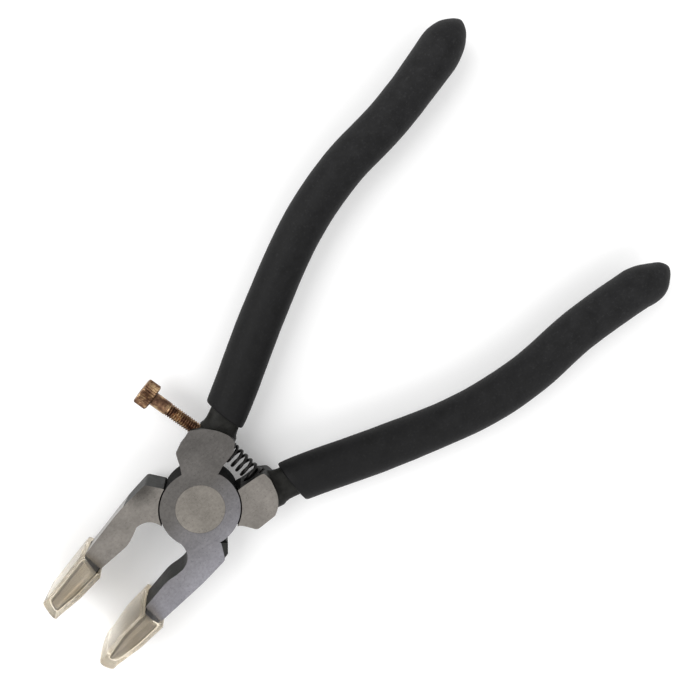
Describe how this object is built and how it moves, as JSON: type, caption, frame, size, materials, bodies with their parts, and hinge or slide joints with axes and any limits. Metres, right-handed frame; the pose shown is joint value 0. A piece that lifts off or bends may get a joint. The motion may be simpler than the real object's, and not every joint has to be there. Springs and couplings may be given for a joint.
{
  "type": "running pliers",
  "caption": "Sprung lap-joint pliers for running a score in stained glass, with wide padded jaws, an adjusting screw and dipped grips.",
  "frame": {"origin": "on the pivot axis, at the rivet's back face, which is flush with the hub's back face", "axes": "+X towards the handle ends along the line midway between the handles, +Y towards half A's handle, +Z along the pivot axis towards the front face"},
  "size_m": [0.1953, 0.1048, 0.0221],
  "materials": {
    "forged_steel": "ground satin faces, black oxide sides",
    "rivet_steel": "ground satin",
    "spring_wire": "black oxide",
    "bronzed_screw": "yellow-bronze plated",
    "black_vinyl": "matte, faintly textured",
    "clear_vinyl": "translucent, slightly yellowed"
  },
  "bodies": {
    "half_a": {"half_a": "forged_steel", "pivot_rivet": "rivet_steel", "return_spring": "spring_wire", "grip_a": "black_vinyl", "jaw_boot_a": "clear_vinyl"},
    "half_b": {"half_b": "forged_steel", "grip_b": "black_vinyl", "jaw_boot_b": "clear_vinyl"},
    "adjusting_screw": {"adjusting_screw": "bronzed_screw"}
  },
  "joints": [
    {"name": "jaw_pivot", "type": "hinge", "parent": "half_a", "child": "half_b", "pos_m": [0, 0, 0.00625], "axis": [0, 0, 1], "range_deg": [-6, 19.5], "stiffness_Nm_per_rad": 2.2, "deforming": ["return_spring"]},
    {"name": "screw_travel", "type": "slide", "parent": "half_a", "child": "adjusting_screw", "axis": [0.1465, -0.9892, 0], "range_m": [-0.006, 0.003]}
  ]
}
